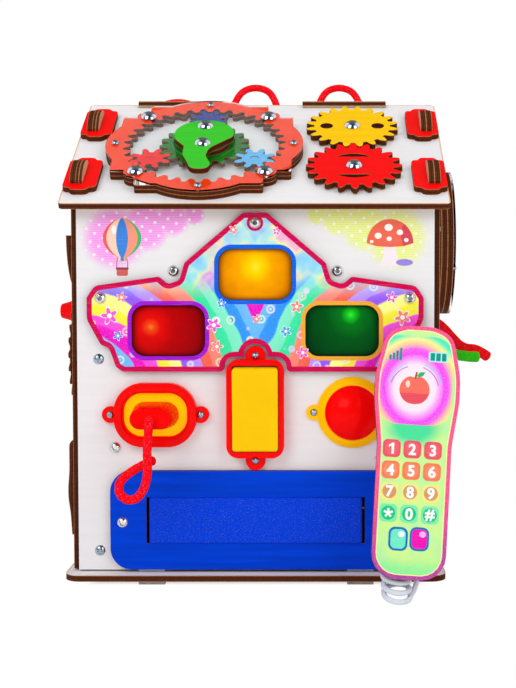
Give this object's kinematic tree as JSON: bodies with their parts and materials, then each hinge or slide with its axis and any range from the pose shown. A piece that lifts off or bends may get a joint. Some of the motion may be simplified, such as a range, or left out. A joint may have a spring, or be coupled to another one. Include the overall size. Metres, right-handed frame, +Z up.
{
  "type": "busy board",
  "caption": "Plywood play house with meshing roof gears, glowing windows, plug, rocker key, push button, tape strip and a toy phone on a curly cord.",
  "frame": {"origin": "on the table plane under the middle of the base plate, at the lower ends of the wall tabs", "axes": "+Z up, +X to the right as seen from the front, -Y out of the front wall"},
  "size_m": [0.2979, 0.2938, 0.3489],
  "materials": {
    "white_ply": "white printed face, laser-burnt brown edges",
    "bare_ply": "bare plywood, burnt edges",
    "red_ply": "red painted face, burnt edges",
    "green_ply": "green painted face, burnt edges",
    "light_green_ply": "light green painted face, burnt edges",
    "yellow_ply": "yellow painted face, burnt edges",
    "blue_ply": "blue painted face, burnt edges",
    "light_blue_ply": "light blue painted face, burnt edges",
    "brown_ply": "burnt brown edges",
    "printed_ply": "colour-printed face, burnt edges",
    "panel_blue": "matte deep blue",
    "tape_blue": "woven hook-and-loop tape",
    "clear_sheet": "clear acrylic",
    "chrome": "polished",
    "steel": "zinc plated",
    "lens_yellow": "translucent, lit from behind",
    "lens_red": "translucent, lit from behind",
    "lens_green": "translucent, lit from behind",
    "white_plastic": "moulded",
    "red_plastic": "moulded",
    "yellow_plastic": "moulded",
    "dark_plastic": "moulded",
    "cell": "wrapped",
    "wire": "insulated",
    "red_rope": "braided",
    "green_lace": "woven"
  },
  "bodies": {
    "house": {"base_plate": "white_ply", "front_wall": "white_ply", "back_wall": "white_ply", "left_wall": "white_ply", "right_wall": "white_ply", "gable_doublers": "bare_ply", "front_roof": "white_ply", "back_roof": "white_ply", "roof_lock_plates": "red_ply", "corner_posts": "bare_ply", "wall_screws": "steel", "light_plaque": "printed_ply", "panel_screws": "chrome", "lens_yellow": "lens_yellow", "lens_red": "lens_red", "lens_green": "lens_green", "led_lamps": "white_plastic", "socket_housing": "red_plastic", "socket_insert": "yellow_plastic", "key_housing": "red_plastic", "button_housing": "yellow_plastic", "button_spring": "steel", "small_screws": "chrome", "contact_switches": "dark_plastic", "battery_box": "dark_plastic", "batteries": "cell", "wiring": "wire", "blue_panel": "panel_blue", "hook_strip": "tape_blue", "ring_gear": "red_ply", "gear_cover": "clear_sheet", "dome_bolts": "chrome", "bolt_nuts": "steel", "left_half_plate": "brown_ply", "left_wave_plate": "brown_ply", "maze_back": "bare_ply", "maze_walls": "red_ply", "maze_cover": "clear_sheet", "roof_lace": "red_rope", "red_lace": "red_rope", "green_lace": "green_lace", "phone_cord": "white_plastic", "phone_peg": "bare_ply"},
    "carrier": {"planet_carrier": "white_plastic"},
    "red_planet": {"planet_red": "red_ply"},
    "light_blue_planet": {"planet_light_blue": "light_blue_ply"},
    "blue_planet": {"planet_blue": "blue_ply"},
    "sun": {"sun_gear": "green_ply", "turn_knob": "light_green_ply", "knob_bolts": "chrome"},
    "yellow_wheel": {"yellow_gear": "yellow_ply"},
    "red_wheel": {"red_gear": "red_ply"},
    "side_wheel": {"side_gear": "brown_ply", "side_knob": "red_plastic"},
    "key": {"rocker_key": "yellow_plastic"},
    "button": {"push_button": "red_plastic"},
    "plug_set": {"plug": "red_plastic", "plug_cord": "red_rope"},
    "handset": {"phone": "printed_ply"},
    "ball": {"maze_ball": "chrome"}
  },
  "joints": [
    {"name": "sun_spin", "type": "hinge", "parent": "house", "child": "sun", "pos_m": [-0.0367, -0.06488, 0.28846], "axis": [0, -0.5299, 0.848], "continuous": true},
    {"name": "carrier_spin", "type": "hinge", "parent": "house", "child": "carrier", "pos_m": [-0.0367, -0.06488, 0.28846], "axis": [0, -0.5299, 0.848], "continuous": true},
    {"name": "blue_planet_spin", "type": "hinge", "parent": "carrier", "child": "blue_planet", "pos_m": [-0.0367, -0.03053, 0.30993], "axis": [0, -0.5299, 0.848], "continuous": true},
    {"name": "red_planet_spin", "type": "hinge", "parent": "carrier", "child": "red_planet", "pos_m": [-0.07177, -0.08205, 0.27773], "axis": [0, -0.5299, 0.848], "continuous": true},
    {"name": "light_blue_planet_spin", "type": "hinge", "parent": "carrier", "child": "light_blue_planet", "pos_m": [-0.00163, -0.08205, 0.27773], "axis": [0, -0.5299, 0.848], "continuous": true},
    {"name": "yellow_wheel_spin", "type": "hinge", "parent": "house", "child": "yellow_wheel", "pos_m": [0.065, -0.03774, 0.30542], "axis": [0, -0.5299, 0.848], "continuous": true},
    {"name": "red_wheel_spin", "type": "hinge", "parent": "house", "child": "red_wheel", "pos_m": [0.065, -0.08862, 0.27363], "axis": [0, -0.5299, 0.848], "continuous": true},
    {"name": "side_wheel_spin", "type": "hinge", "parent": "house", "child": "side_wheel", "pos_m": [-0.121, -0.056, 0.1513], "axis": [-1, 0, 0], "continuous": true},
    {"name": "key_tilt", "type": "hinge", "parent": "house", "child": "key", "pos_m": [0, -0.1165, 0.1175], "axis": [1, 0, 0], "range_deg": [-8, 0]},
    {"name": "button_press", "type": "slide", "parent": "house", "child": "button", "axis": [0, 1, 0], "range_m": [0, 0.004], "stiffness_N_per_m": 250, "springref_m": -0.002, "deforming": ["button_spring"]},
    {"name": "plug_pull", "type": "slide", "parent": "house", "child": "plug_set", "axis": [0, -1, 0], "range_m": [0, 0.03]},
    {"name": "handset_lift", "type": "slide", "parent": "house", "child": "handset", "axis": [0, -1, 0], "range_m": [0, 0.03], "deforming": ["phone_cord"]},
    {"name": "ball_run", "type": "hinge", "parent": "house", "child": "ball", "pos_m": [0.131, -0.03, 0.227], "axis": [1, 0, 0], "continuous": true}
  ],
  "couplings": [
    {"joint": "carrier_spin", "follows": "sun_spin", "ratio": 0.35185},
    {"joint": "blue_planet_spin", "follows": "sun_spin", "ratio": -1.5394},
    {"joint": "red_planet_spin", "follows": "sun_spin", "ratio": -1.5394},
    {"joint": "light_blue_planet_spin", "follows": "sun_spin", "ratio": -1.5394},
    {"joint": "red_wheel_spin", "follows": "yellow_wheel_spin", "ratio": -1}
  ]
}
